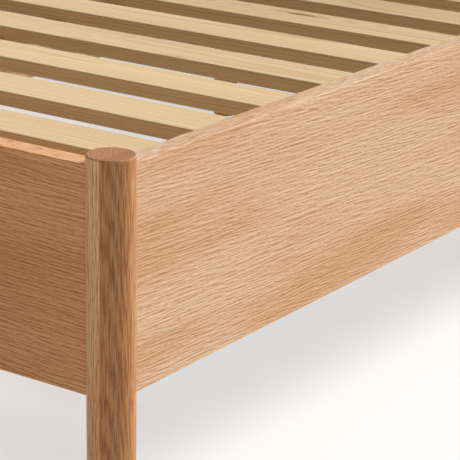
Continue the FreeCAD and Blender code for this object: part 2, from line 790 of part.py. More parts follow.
def leg_nut():
    """Flanged nut pressed into the foot of a leg."""
    thread = "adjuster_thread"
    sleeve_length = "leg_nut_length + leg_nut_flange_thickness"
    sleeve = upright_tube("leg_nut_sleeve", "leg_nut_diameter", thread, sleeve_length, "flange_bottom")
    flange_size = "leg_nut_flange_diameter"
    flange = upright_tube("leg_nut_flange", flange_size, thread, "leg_nut_flange_thickness", "flange_bottom")
    return fuse("leg_nut", [sleeve, flange])


def make_screw_foot(end, y):
    """Threaded stem with a hexagon collar that turns in a round floor pad."""
    stem = solid(
        "Part::Cylinder",
        f"stem_rod_{end}",
        {"Radius": "adjuster_diameter / 2", "Height": "adjuster_top - adjuster_bottom"},
    )
    collar_sizes = {"Circumradius": "nut_across_flats / sqrt(3)", "Height": "collar_thickness"}
    collar = solid("Part::Prism", f"stem_collar_{end}", collar_sizes)
    shapes = [place(stem, "0", y, "adjuster_bottom"), place(collar, "0", y, "collar_bottom")]
    finish(fuse(f"adjuster_stem_{end}", shapes), f"adjuster_stem_{end}")
    label = f"adjuster_pad_{end}"
    body = new_body(label)
    disc = circle(sketch(body, f"{label}_section", "XY_Plane"), "pad_diameter")
    pad(body, disc, "pad_thickness")
    rounded(body, is_upper_ring, "pad_rounding")
    hole = sketch(body, f"{label}_socket", "XY_Plane", lift="pad_thickness")
    pocket(body, circle(hole, "adjuster_diameter + 2 * adjuster_socket_gap"), "adjuster_socket_depth")
    place(body, "0", y, "0")


def is_upper_ring(edge):
    return is_ring(edge) and edge.BoundBox.ZMin > 0


def check_and_write():
    """Stop at any object that failed, then write one file for each sub-part."""
    doc.recompute()
    for item in doc.Objects:
        if {"Invalid", "Error"} & set(item.State):
            raise RuntimeError(f"{item.Name} failed: {item.State}")
    for item in nodes:
        if item.Shape.isNull() or not item.Shape.isValid():
            raise RuntimeError(f"{item.Label} has no sound shape")
    os.makedirs("parts", exist_ok=True)
    for item in nodes:
        item.Shape.exportStep(f"parts/{item.Label}.step")


make_side_rails()
make_end_rails()
make_headboard()
make_posts()
make_corner_fittings()
make_slats()
make_straps()
make_pegs()
make_ledgers()
make_beam()
make_hangers()
make_legs()
check_and_write()
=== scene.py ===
"""Dresses the oak bed frame: woods, metals, nylon and webbing, the modelled slat straps, and a plain stage."""

import math

import bpy
from bpy.props import FloatProperty, FloatVectorProperty, IntProperty, PointerProperty
from mathutils import Matrix, Vector


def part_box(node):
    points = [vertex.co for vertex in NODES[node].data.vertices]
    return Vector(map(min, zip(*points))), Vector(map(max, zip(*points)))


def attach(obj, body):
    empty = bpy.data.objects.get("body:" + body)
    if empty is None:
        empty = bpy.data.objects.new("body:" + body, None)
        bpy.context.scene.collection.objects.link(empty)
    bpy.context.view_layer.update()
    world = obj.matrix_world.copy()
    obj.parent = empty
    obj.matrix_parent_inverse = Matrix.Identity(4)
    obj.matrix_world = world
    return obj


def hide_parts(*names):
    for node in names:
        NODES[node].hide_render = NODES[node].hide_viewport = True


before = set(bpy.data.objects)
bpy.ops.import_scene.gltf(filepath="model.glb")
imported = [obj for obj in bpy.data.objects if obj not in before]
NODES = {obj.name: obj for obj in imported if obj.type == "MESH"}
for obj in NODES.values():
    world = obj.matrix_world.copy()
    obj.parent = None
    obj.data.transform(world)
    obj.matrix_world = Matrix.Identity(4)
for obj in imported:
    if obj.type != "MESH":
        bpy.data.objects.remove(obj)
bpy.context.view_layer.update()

bl_info = {
    "name": "Oak Bed Frame Dresser",
    "version": (1, 0, 0),
    "blender": (4, 5, 0),
    "location": "View3D > Sidebar > Bed Frame",
    "description": "Finishes the packed oak bed frame in wood, metal, nylon and webbing, on a plain stage",
    "category": "Object",
}

# Turns of the pattern that bring the grain from each row axis to the pattern's own first axis
GRAIN_TURN = {
    "X": (0.0, 0.0, 0.0),
    "Y": (0.0, 0.0, -math.pi / 2),
    "Z": (0.0, math.pi / 2, 0.0),
}
AXIS_NUMBER = {"X": 0, "Y": 1, "Z": 2}
FAR_AWAY = 10.0
SRGB_TOE = 0.04045
STREAK_GAP = 0.0016
GLUE_HALF = 0.00025
BUMP_STRENGTH = 0.6
OAK_WEAR = 0.004
SUPPORT_WEAR = 0.003
POST_STREAKS = 1.6
BOARD_STREAKS = 1.05
BOARD_SLANT = 0.075
SOFTWOOD_TAPER = 0.006
SOFTWOOD_WANDER = 0.005
WEBBING_BUMP = 0.0004
METAL_BUMP = 0.00003
BEECH_BUMP = 0.0001
SMOOTH_ANGLE = math.radians(40.0)
FLOOR_ROUGHNESS = 0.9
FADE_START = 2.2
FADE_END = 5.0
SENSOR_WIDTH = 36.0
CLIP_NEAR = 0.05
CLIP_FAR = 200.0


def tone(red, green, blue):
    """A screen colour of 0 to 255 as the linear colour that Blender keeps."""
    linear = []
    for value in (red, green, blue):
        share = value / 255
        if share <= SRGB_TOE:
            linear.append(share / 12.92)
        else:
            linear.append(((share + 0.055) / 1.055) ** 2.4)
    return tuple(linear)


def colour_setting(name, description, default):
    """A colour that the user can change in the panel."""
    return FloatVectorProperty(
        name=name,
        description=description,
        subtype="COLOR",
        size=3,
        min=0.0,
        max=1.0,
        default=default,
    )


def length_setting(name, description, default):
    """A length in metres that the user can change in the panel."""
    return FloatProperty(
        name=name,
        description=description,
        default=default,
        min=0.0,
        unit="LENGTH",
        precision=4,
    )


def factor_setting(name, description, default, most=1.0):
    """A share or strength that the user can change in the panel."""
    return FloatProperty(name=name, description=description, default=default, min=0.0, max=most)


# Settings


class BedOak(bpy.types.PropertyGroup):
    """Looks of the oiled oak."""

    pale: colour_setting("Pale wood", "Lightest streaks of the oak", tone(244, 215, 185))
    deep: colour_setting("Deep wood", "Darkest streaks of the oak", tone(202, 154, 107))
    pore: colour_setting("Pores", "Open pores of the early growth", tone(158, 104, 64))
    patch: colour_setting("Warm patches", "What the slow warm patches keep of the colour", (0.90, 0.76, 0.60))
    end_grain: colour_setting("End grain tint", "What end grain keeps of the colour", (0.60, 0.43, 0.27))
    glue: colour_setting("Glue line", "Line between two staves", tone(112, 72, 44))
    board_ring: length_setting("Board ring width", "One year's growth in the boards", 0.0034)
    post_ring: length_setting("Post ring width", "One year's growth in the posts", 0.0028)
    wander: length_setting("Wander", "How far the growth rings stray", 0.006)
    bump: length_setting("Pore depth", "Depth of the open pores", 0.00035)
    roughness: factor_setting("Roughness", "Roughness of the oiled face", 0.42)


class BedSoftwood(bpy.types.PropertyGroup):
    """Looks of the plain woods inside the frame."""

    slat_pale: colour_setting("Slat wood", "Pale early growth of the slats", tone(214, 188, 146))
    slat_late: colour_setting("Slat lines", "Darker late growth of the slats", tone(190, 148, 98))
    rail_pale: colour_setting("Support wood", "Pale early growth of ledgers and beam", tone(221, 192, 148))
    rail_late: colour_setting("Support lines", "Late growth of ledgers and beam", tone(182, 136, 86))
    leg_pale: colour_setting("Leg wood", "Pale wood of the centre legs", tone(214, 178, 136))
    leg_late: colour_setting("Leg lines", "Darker wood of the centre legs", tone(184, 141, 100))
    knot: colour_setting("Knots", "Heart of a knot", tone(112, 66, 34))
    ring_width: length_setting("Ring width", "Thickness of one year's growth", 0.0042)
    bump: length_setting("Grain depth", "Height of the raised late growth", 0.0002)
    roughness: factor_setting("Roughness", "Roughness of the planed face", 0.62)


class BedStrap(bpy.types.PropertyGroup):
    """Sizes and colours of the webbing that ties the slats."""

    sag: length_setting("Sag", "How far the webbing hangs between two slats", 0.003)
    selvedge: length_setting("Selvedge", "Extra thickness of the woven edge", 0.0003)
    step: length_setting("Step", "Length of one face along the webbing", 0.005)
    columns: IntProperty(name="Columns", description="Faces across the webbing", default=12, min=4, max=40)
    warp_width: length_setting("Warp", "Width of one warp rib", 0.0014)
    weft_width: length_setting("Weft", "Width of one weft thread", 0.0011)
    yarn: colour_setting("Yarn", "Colour of the yarn", tone(226, 221, 208))
    # The gap colour is painted shade between the yarns; it also serves as the colour of darker threads and of
    # the soiling.
    shadow: colour_setting("Between yarns", "Colour in the gaps of the weave", tone(150, 142, 126))


class BedFittings(bpy.types.PropertyGroup):
    """Colours of the metal and nylon fittings."""

    zinc: colour_setting("Zinc", "Bright zinc plating", tone(198, 201, 204))
    staple: colour_setting("Staples", "Drawn steel wire", tone(176, 176, 174))
    brass: colour_setting("Brass", "Threaded inserts", tone(214, 176, 102))
    coat: colour_setting("Powder coat", "Beam hangers", tone(38, 38, 40))
    nylon: colour_setting("Nylon", "Glides and foot pads", tone(52, 50, 48))
    beech: colour_setting("Beech", "Dowels and pegs", tone(222, 184, 144))
    beech_late: colour_setting("Beech flecks", "Darker wood of dowels and pegs", tone(196, 150, 110))


class BedStage(bpy.types.PropertyGroup):
    """Floor, light and camera."""

    floor: colour_setting("Floor", "Plain pale floor", (0.80, 0.80, 0.80))
    floor_glow: colour_setting("Floor bounce", "Warmth of the light from the floor", (0.80, 0.70, 0.59))
    floor_size: length_setting("Floor size", "Side of the floor", 60.0)
    shadow: factor_setting("Shadow", "Share of the floor's shading that the camera sees", 0.40)
    key: factor_setting("Key light", "Strength of the soft key light", 4.75, 20.0)
    key_spread: FloatProperty(
        name="Key spread",
        description="Angle across the key light as the bed sees it",
        subtype="ANGLE",
        default=math.radians(30.0),
    )
    key_from: FloatVectorProperty(
        name="Key direction",
        description="Direction from the bed to the key light",
        subtype="DIRECTION",
        default=(0.36, 0.70, 0.62),
    )
    fill: factor_setting("Fill light", "Strength of the even light all round", 0.185, 5.0)
    fill_tone: colour_setting("Fill colour", "Colour of the even light all round", (1.0, 0.89, 0.77))
    eye: FloatVectorProperty(
        name="Camera place",
        description="Where the camera stands",
        subtype="TRANSLATION",
        unit="LENGTH",
        default=(1.996258, -2.518427, 0.963962),
    )
    yaw: FloatProperty(
        name="Camera turn",
        description="Camera's turn about the upright",
        subtype="ANGLE",
        default=math.radians(34.643),
    )
    pitch: FloatProperty(
        name="Camera tilt",
        description="How far the camera looks down",
        subtype="ANGLE",
        default=math.radians(18.276),
    )
    roll: FloatProperty(
        name="Camera roll",
        description="Camera's turn about its own line of sight",
        subtype="ANGLE",
        default=math.radians(0.965),
    )
    lens: FloatProperty(name="Lens", description="Focal length in millimetres", default=161.40)


# Node tools


class Wiring:
    """Puts nodes into one node tree and joins them."""

    def __init__(self, tree):
        self.tree = tree

    def give(self, socket, value):
        """Joins a socket to another, or sets its value."""
        if isinstance(value, bpy.types.NodeSocket):
            self.tree.links.new(value, socket)
        elif socket.type == "RGBA" and len(value) == 3:
            socket.default_value = (*value, 1.0)
        else:
            socket.default_value = value

    def node(self, kind, values, **settings):
        """A new node with its settings and inputs."""
        made = self.tree.nodes.new(kind)
        for name, value in settings.items():
            setattr(made, name, value)
        for key, value in values.items():
            self.give(made.inputs[key], value)
        return made

    def calc(self, operation, *values):
        """A Math node's result."""
        made = self.tree.nodes.new("ShaderNodeMath")
        made.operation = operation
        for socket, value in zip(made.inputs, values):
            self.give(socket, value)
        return made.outputs[0]

    def times(self, place, scale):
        """A place stretched by its own factor along each axis."""
        made = self.node("ShaderNodeVectorMath", {0: place, 1: scale}, operation="MULTIPLY")
        return made.outputs[0]

    def split(self, place):
        """The three parts of a place."""
        return self.node("ShaderNodeSeparateXYZ", {0: place}).outputs

    def join(self, x, y, z):
        """A place from three parts."""
        return self.node("ShaderNodeCombineXYZ", {0: x, 1: y, 2: z}).outputs[0]

    def step(self, value, low, high):
        """Rises smoothly from 0 at low to 1 at high, or falls where low is above high."""
        made = self.node(
            "ShaderNodeMapRange",
            {"Value": value, "From Min": low, "From Max": high},
            interpolation_type="SMOOTHSTEP",
        )
        return made.outputs[0]

    def noise(self, place, scale, detail=1.0):
        """Soft noise of 0 to 1, at a scale of its own along each axis."""
        made = self.node(
            "ShaderNodeTexNoise",
            {"Vector": self.times(place, scale), "Scale": 1.0, "Detail": detail},
        )
        return made.outputs[0]

    def swing(self, value, reach):
        """Turns a noise of 0 to 1 into one of -reach to reach."""
        centred = self.calc("SUBTRACT", value, 0.5)
        return self.calc("MULTIPLY", centred, self.calc("MULTIPLY", reach, 2.0))

    def mix(self, factor, first, second, blend="MIX"):
        """A blend of two colours."""
        made = self.tree.nodes.new("ShaderNodeMix")
        made.data_type = "RGBA"
        made.blend_type = blend
        self.give(made.inputs[0], factor)
        self.give(made.inputs[6], first)
        self.give(made.inputs[7], second)
        return made.outputs[2]

    def between(self, factor, first, second):
        """A blend of two values."""
        made = self.tree.nodes.new("ShaderNodeMix")
        made.data_type = "FLOAT"
        self.give(made.inputs[0], factor)
        self.give(made.inputs[2], first)
        self.give(made.inputs[3], second)
        return made.outputs[0]

    def mapped(self, place, location=(0.0, 0.0, 0.0), rotation=(0.0, 0.0, 0.0)):
        """A place turned and then moved."""
        made = self.node(
            "ShaderNodeMapping",
            {"Vector": place, "Location": location, "Rotation": rotation},
        )
        return made.outputs[0]

    def group(self, tree, values):
        """A placed node group."""
        made = self.tree.nodes.new("ShaderNodeGroup")
        made.node_tree = tree
        for key, value in values.items():
            self.give(made.inputs[key], value)
        return made.outputs


SOCKETS = {"value": "NodeSocketFloat", "place": "NodeSocketVector", "colour": "NodeSocketColor"}


def new_group(name, inputs, outputs):
    """An empty node group with named sockets: its wiring, its inputs and its output node."""
    tree = bpy.data.node_groups.new(name, "ShaderNodeTree")
    for label, kind in inputs.items():
        tree.interface.new_socket(name=label, in_out="INPUT", socket_type=SOCKETS[kind])
    for label, kind in outputs.items():
        tree.interface.new_socket(name=label, in_out="OUTPUT", socket_type=SOCKETS[kind])
    wires = Wiring(tree)
    given = tree.nodes.new("NodeGroupInput").outputs
    result = tree.nodes.new("NodeGroupOutput").inputs
    return wires, given, result


def shared_group(name, build):
    """The node group of that name, built the first time that it is asked for."""
    if name not in bpy.data.node_groups:
        build(name)
    return bpy.data.node_groups[name]


def build_growth_rings(name):
    """Growth rings round a pith that runs along the first axis, wandering and tapering as a trunk does."""
    wires, given, result = new_group(
        name,
        {"Place": "place", "Ring Width": "value", "Taper": "value", "Wander": "value"},
        {"Phase": "value", "Chance": "value"},
    )
    place = given["Place"]
    along, through, across = wires.split(place)
    square = wires.calc("MULTIPLY_ADD", through, through, wires.calc("MULTIPLY", across, across))
    radius = wires.calc("SQRT", square)
    radius = wires.calc("MULTIPLY_ADD", along, given["Taper"], radius)
    slow = wires.swing(wires.noise(place, (1.3, 7.0, 7.0)), given["Wander"])
    fine = wires.swing(wires.noise(place, (13.0, 60.0, 60.0)), wires.calc("MULTIPLY", given["Wander"], 0.13))
    radius = wires.calc("ADD", radius, wires.calc("ADD", slow, fine))
    years = wires.node(
        "ShaderNodeTexNoise",
        {"W": wires.calc("MULTIPLY", radius, 70.0), "Scale": 1.0, "Detail": 1.0},
        noise_dimensions="1D",
    )
    rings = wires.calc("DIVIDE", radius, given["Ring Width"])
    rings = wires.calc("ADD", rings, wires.swing(years.outputs[0], 0.9))
    wires.give(result["Phase"], wires.calc("FRACT", rings))
    chance = wires.node("ShaderNodeTexWhiteNoise", {"W": wires.calc("FLOOR", rings)}, noise_dimensions="1D")
    wires.give(result["Chance"], chance.outputs[0])


def build_oak_figure(name):
    """Ring-porous oak: rings of early and late growth, short pale and dark streaks that slant across them,
    scattered open pores, fine fibre and slow warm patches."""
    wires, given, result = new_group(
        name,
        {
            "Place": "place",
            "Ring Width": "value",
            "Taper": "value",
            "Wander": "value",
            "Slant": "value",
            "Rings": "value",
            "Streaks": "value",
            "Pale": "colour",
            "Deep": "colour",
            "Pore": "colour",
            "Patch": "colour",
            "Tint": "colour",
        },
        {"Color": "colour", "Early": "value", "Pores": "value", "Height": "value"},
    )
    place = given["Place"]
    rings = wires.group(
        shared_group("Growth rings", build_growth_rings),
        {key: given[key] for key in ("Place", "Ring Width", "Taper", "Wander")},
    )
    wave = wires.calc("COSINE", wires.calc("MULTIPLY", rings["Phase"], 2 * math.pi))
    wave = wires.calc("MULTIPLY", wave, wires.calc("MULTIPLY_ADD", rings["Chance"], 0.25, 0.30))
    along, through, across = wires.split(place)
    leaning = wires.calc("MULTIPLY_ADD", along, given["Slant"], across)
    slanted = wires.join(along, through, leaning)
    beside = wires.join(along, through, wires.calc("ADD", leaning, STREAK_GAP))
    streak = wires.calc(
        "SUBTRACT",
        wires.noise(slanted, (38.0, 600.0, 600.0), 0.0),
        wires.noise(beside, (38.0, 600.0, 600.0), 0.0),
    )
    streak = wires.calc("MULTIPLY", streak, given["Streaks"])
    fleck = wires.swing(wires.noise(slanted, (170.0, 1300.0, 1300.0), 0.0), 0.40)
    early = wires.calc("MULTIPLY_ADD", wave, given["Rings"], wires.calc("ADD", streak, fleck))
    vessels = wires.step(wires.noise(slanted, (60.0, 900.0, 900.0)), 0.46, 0.66)
    pores = wires.calc("MULTIPLY", vessels, wires.step(early, -0.10, 0.45))
    fibre = wires.noise(place, (4.0, 320.0, 320.0), 2.0)
    slow = wires.noise(place, (2.2, 42.0, 42.0), 2.0)
    patch = wires.step(wires.noise(place, (2.6, 13.0, 13.0), 2.0), 0.40, 0.68)
    shade = wires.calc("ADD", wires.swing(fibre, 0.10), wires.swing(slow, 0.12))
    shade = wires.calc("ADD", shade, wires.calc("MULTIPLY_ADD", early, 0.90, 0.50))
    shade = wires.calc("MINIMUM", wires.calc("MAXIMUM", shade, 0.0), 1.0)
    colour = wires.mix(shade, given["Pale"], given["Deep"])
    colour = wires.mix(wires.calc("MULTIPLY", pores, 0.42), colour, given["Pore"])
    warmed = wires.mix(1.0, colour, given["Patch"], "MULTIPLY")
    colour = wires.mix(patch, colour, warmed)
    colour = wires.mix(1.0, colour, given["Tint"], "MULTIPLY")
    height = wires.calc("MULTIPLY_ADD", pores, -0.60, wires.calc("MULTIPLY", shade, -0.40))
    height = wires.calc("MULTIPLY_ADD", fibre, 0.15, height)
    wires.give(result["Color"], colour)
    wires.give(result["Early"], wires.step(wave, -0.3, 0.4))
    wires.give(result["Pores"], pores)
    wires.give(result["Height"], height)


def build_softwood_figure(name):
    """Plain softwood: pale early growth, narrow darker late lines, and a few knots they flow round."""
    wires, given, result = new_group(
        name,
        {
            "Place": "place",
            "Ring Width": "value",
            "Taper": "value",
            "Wander": "value",
            "Pale": "colour",
            "Late": "colour",
            "Knot": "colour",
            "Knots": "value",
        },
        {"Color": "colour", "Lines": "value", "Height": "value"},
    )
    place = given["Place"]
    cells = wires.node(
        "ShaderNodeTexVoronoi",
        {"Vector": wires.times(place, (2.3, 13.0, 13.0)), "Scale": 1.0},
    )
    gap = cells.outputs["Distance"]
    lean = wires.calc("MULTIPLY", wires.step(gap, 0.40, 0.05), 0.010)
    lean = wires.calc("MULTIPLY", lean, given["Knots"])
    along, through, across = wires.split(place)
    bent = wires.join(along, wires.calc("ADD", through, lean), across)
    rings = wires.group(
        shared_group("Growth rings", build_growth_rings),
        {
            "Place": bent,
            "Ring Width": given["Ring Width"],
            "Taper": given["Taper"],
            "Wander": given["Wander"],
        },
    )
    phase, chance = rings["Phase"], rings["Chance"]
    lines = wires.calc("MULTIPLY", wires.step(phase, 0.40, 0.90), wires.step(phase, 1.0, 0.95))
    lines = wires.calc("MULTIPLY", lines, wires.calc("MULTIPLY_ADD", chance, 0.55, 0.45))
    fibre = wires.noise(place, (6.0, 500.0, 500.0), 2.0)
    patch = wires.noise(place, (1.5, 10.0, 10.0), 2.0)
    shade = wires.calc("MULTIPLY_ADD", lines, 0.75, wires.swing(fibre, 0.30))
    shade = wires.calc("ADD", shade, wires.swing(patch, 0.35))
    shade = wires.calc("MINIMUM", wires.calc("MAXIMUM", shade, 0.0), 1.0)
    colour = wires.mix(shade, given["Pale"], given["Late"])
    heart = wires.calc("MULTIPLY", wires.step(gap, 0.075, 0.045), given["Knots"])
    halo = wires.calc("MULTIPLY", wires.step(gap, 0.15, 0.06), wires.calc("MULTIPLY", given["Knots"], 0.55))
    colour = wires.mix(halo, colour, given["Late"])
    colour = wires.mix(wires.calc("MULTIPLY", heart, 0.85), colour, given["Knot"])
    height = wires.calc("MULTIPLY_ADD", lines, 0.6, wires.calc("MULTIPLY", fibre, 0.35))
    wires.give(result["Color"], colour)
    wires.give(result["Lines"], lines)
    wires.give(result["Height"], height)


def build_edge_wear(name):
    """How near a place is to an edge where two faces of its block meet, softly broken up."""
    wires, given, result = new_group(
        name,
        {"Place": "place", "Half Size": "place", "Width": "value"},
        {"Wear": "value"},
    )
    sides = wires.node("ShaderNodeVectorMath", {0: given["Place"]}, operation="ABSOLUTE").outputs[0]
    depth = wires.node("ShaderNodeVectorMath", {0: given["Half Size"], 1: sides}, operation="SUBTRACT")
    first, second, third = wires.split(depth.outputs[0])
    low = wires.calc("MINIMUM", first, second)
    high = wires.calc("MAXIMUM", first, second)
    middle = wires.calc("MAXIMUM", low, wires.calc("MINIMUM", high, third))
    uneven = wires.noise(given["Place"], (60.0, 60.0, 60.0), 2.0)
    reach = wires.calc("MULTIPLY", given["Width"], wires.calc("MULTIPLY_ADD", uneven, 1.4, 0.3))
    near = wires.calc("DIVIDE", middle, reach)
    wires.give(result["Wear"], wires.step(near, 1.0, 0.0))


def build_metal_wear(name):
    """Fine brushing, cloudy plating and small scratches of metal fittings."""
    wires, given, result = new_group(
        name,
        {"Place": "place", "Metal": "colour", "Rough": "value"},
        {"Color": "colour", "Roughness": "value", "Height": "value"},
    )
    place = given["Place"]
    cloud = wires.noise(place, (140.0, 140.0, 140.0), 3.0)
    brush = wires.noise(place, (300.0, 2400.0, 2400.0), 1.0)
    scratch = wires.step(wires.noise(place, (2600.0, 190.0, 900.0)), 0.68, 0.76)
    shade = wires.calc("MULTIPLY_ADD", cloud, 0.35, 0.72)
    dark = wires.join(shade, shade, shade)
    colour = wires.mix(1.0, given["Metal"], dark, "MULTIPLY")
    rough = wires.calc("ADD", given["Rough"], wires.swing(cloud, 0.12))
    rough = wires.calc("MULTIPLY_ADD", scratch, 0.12, rough)
    wires.give(result["Color"], colour)
    wires.give(result["Roughness"], rough)
    wires.give(result["Height"], wires.calc("MULTIPLY_ADD", scratch, -0.5, brush))


def build_fine_texture(name):
    """Fine orange peel and dusty lightening of moulded nylon and powder coat."""
    wires, given, result = new_group(
        name,
        {"Place": "place", "Grain": "value", "Paint": "colour", "Rough": "value"},
        {"Color": "colour", "Roughness": "value", "Height": "value"},
    )
    scaled = wires.node(
        "ShaderNodeVectorMath",
        {0: given["Place"], "Scale": given["Grain"]},
        operation="SCALE",
    )
    peel = wires.noise(scaled.outputs[0], (1.0, 1.0, 1.0), 2.0)
    dust = wires.noise(given["Place"], (45.0, 45.0, 45.0), 3.0)
    pale = wires.mix(1.0, given["Paint"], (0.06, 0.06, 0.06), "ADD")
    colour = wires.mix(wires.step(dust, 0.42, 0.75), given["Paint"], pale)
    wires.give(result["Color"], colour)
    wires.give(result["Roughness"], wires.calc("ADD", given["Rough"], wires.swing(dust, 0.14)))
    wires.give(result["Height"], peel)


def build_weave(name):
    """A plain weave whose ribs run along the second axis."""
    wires, given, result = new_group(
        name,
        {"Place": "place", "Warp": "value", "Weft": "value"},
        {"Height": "value", "Gap": "value", "Thread": "value"},
    )
    across, along, _ = wires.split(given["Place"])
    warp = wires.calc("DIVIDE", across, given["Warp"])
    weft = wires.calc("DIVIDE", along, given["Weft"])
    number = wires.calc("ADD", wires.calc("FLOOR", warp), wires.calc("FLOOR", weft))
    over = wires.calc("FLOORED_MODULO", number, 2.0)
    warp_round = wires.calc("ABSOLUTE", wires.calc("SINE", wires.calc("MULTIPLY", warp, math.pi)))
    weft_round = wires.calc("ABSOLUTE", wires.calc("SINE", wires.calc("MULTIPLY", weft, math.pi)))
    crown = wires.calc("MULTIPLY", warp_round, weft_round)
    low = wires.calc("MULTIPLY", warp_round, 0.45)
    height = wires.between(over, low, wires.calc("MULTIPLY_ADD", crown, 0.6, 0.4))
    wires.give(result["Height"], height)
    # The gap mask marks the recesses between yarns, where the webbing material paints shade.
    wires.give(result["Gap"], wires.step(height, 0.45, 0.05))
    twist = wires.noise(given["Place"], (1800.0, 240.0, 1800.0), 1.0)
    wires.give(result["Thread"], twist)


# Materials


def new_material(name):
    """An empty material: its wiring and its Principled shader."""
    material = bpy.data.materials.new(name)
    material.use_nodes = True
    shader = material.node_tree.nodes["Principled BSDF"]
    return material, Wiring(material.node_tree), shader


def finish_material(wires, shader, colour, roughness, height, depth):
    """Feeds the shader with a colour, a roughness and a bump of that depth in metres."""
    bump = wires.node("ShaderNodeBump", {"Strength": BUMP_STRENGTH, "Distance": depth, "Height": height})
    wires.give(shader.inputs["Base Color"], colour)
    wires.give(shader.inputs["Roughness"], roughness)
    wires.give(shader.inputs["Normal"], bump.outputs[0])


def dress(names, material):
    """Gives CAD nodes a material in their own material slots."""
    for name in names:
        for slot in NODES[name].material_slots:
            slot.material = material


def grain_place(wires, node, run):
    """Places on a node from its middle, with the grain along the first axis, and the share of end grain."""
    low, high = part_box(node)
    turn = Matrix.Rotation(GRAIN_TURN[run][2], 3, "Z") @ Matrix.Rotation(GRAIN_TURN[run][1], 3, "Y")
    shift = -(turn @ ((low + high) / 2))
    source = wires.node("ShaderNodeTexCoord", {}).outputs
    place = wires.mapped(source["Object"], tuple(shift), GRAIN_TURN[run])
    facing = wires.calc("ABSOLUTE", wires.split(source["Normal"])[AXIS_NUMBER[run]])
    half = turn @ ((high - low) / 2)
    return place, wires.step(facing, 0.55, 0.92), tuple(abs(value) for value in half)


def oak_material(name, node, run, ring_width, slant, streaks, staves, turned=0.0, rounded=False):
    """Oiled oak glued up from staves across the grain. Each stave has its lower joint, its pith, its tilt,
    its taper, how plainly its rings show, its shift along the grain and its tint."""
    oak = bpy.context.scene.bed_oak
    material, wires, shader = new_material(name)
    place, end, half = grain_place(wires, node, run)
    plain = place
    place = wires.mapped(place, (0.0, 0.0, 0.0), (turned, 0.0, 0.0))
    across = wires.split(place)[2]
    figure = shared_group("Oak figure", build_oak_figure)
    colour = early = pores = height = line = None
    for joint, pith, tilt, taper, rings, shift, tint in staves:
        looks = wires.group(
            figure,
            {
                "Place": wires.mapped(place, (shift, -pith[0], -pith[1]), (0.0, tilt, 0.0)),
                "Ring Width": ring_width,
                "Taper": taper,
                "Wander": oak.wander,
                "Slant": slant,
                "Rings": rings,
                "Streaks": streaks,
                "Pale": tuple(oak.pale),
                "Deep": tuple(oak.deep),
                "Pore": tuple(oak.pore),
                "Patch": tuple(oak.patch),
                "Tint": tint,
            },
        )
        if colour is None:
            colour, early, pores, height = (looks[key] for key in ("Color", "Early", "Pores", "Height"))
            line = 0.0
        else:
            side = wires.step(across, joint - GLUE_HALF, joint + GLUE_HALF)
            colour = wires.mix(side, colour, looks["Color"])
            early = wires.between(side, early, looks["Early"])
            pores = wires.between(side, pores, looks["Pores"])
            height = wires.between(side, height, looks["Height"])
            away = wires.calc("ABSOLUTE", wires.calc("SUBTRACT", across, joint))
            line = wires.calc("MAXIMUM", line, wires.step(away, 2 * GLUE_HALF, 0.0))
    if len(staves) > 1:
        colour = wires.mix(wires.calc("MULTIPLY", line, 0.55), colour, tuple(oak.glue))
    ended = wires.mix(0.60, colour, tuple(oak.deep))
    ended = wires.mix(wires.calc("MULTIPLY", early, 0.55), ended, tuple(oak.pore))
    ended = wires.mix(1.0, ended, tuple(oak.end_grain), "MULTIPLY")
    colour = wires.mix(end, colour, ended)
    if rounded:
        along, through, over = wires.split(plain)
        square = wires.calc("MULTIPLY_ADD", through, through, wires.calc("MULTIPLY", over, over))
        plain = wires.join(along, wires.calc("SQRT", square), 0.0)
        half = (half[0], half[1], FAR_AWAY)
    worn = wires.group(
        shared_group("Edge wear", build_edge_wear),
        {"Place": plain, "Half Size": half, "Width": OAK_WEAR},
    )["Wear"]
    colour = wires.mix(wires.calc("MULTIPLY", worn, 0.12), colour, tuple(oak.pale))
    rough = wires.calc("MULTIPLY_ADD", pores, 0.22, oak.roughness)
    rough = wires.calc("MULTIPLY_ADD", end, 0.14, rough)
    rough = wires.calc("MULTIPLY_ADD", worn, 0.40, rough)
    finish_material(wires, shader, colour, rough, height, oak.bump)
    return material


def softwood_looks(place, wires, pale, late, knots, pith):
    """Planed softwood on a place whose first axis follows the grain."""
    wood = bpy.context.scene.bed_softwood
    return wires.group(
        shared_group("Softwood figure", build_softwood_figure),
        {
            "Place": wires.mapped(place, (0.0, -pith[0], -pith[1])),
            "Ring Width": wood.ring_width,
            "Taper": SOFTWOOD_TAPER,
            "Wander": SOFTWOOD_WANDER,
            "Pale": tuple(pale),
            "Late": tuple(late),
            "Knot": tuple(wood.knot),
            "Knots": knots,
        },
    )


def slat_names():
    """The slats' names from the foot to the head."""
    return sorted(name for name in NODES if name.startswith("slat_") and name[-2:].isdigit())


def seen_rays(wires):
    """The light path's outputs, and 1 for rays that show the surround itself."""
    path = wires.node("ShaderNodeLightPath", {}).outputs
    seen = wires.calc("MAXIMUM", path["Is Camera Ray"], path["Is Glossy Ray"])
    return path, wires.calc("MAXIMUM", seen, path["Is Transmission Ray"])


# Operators


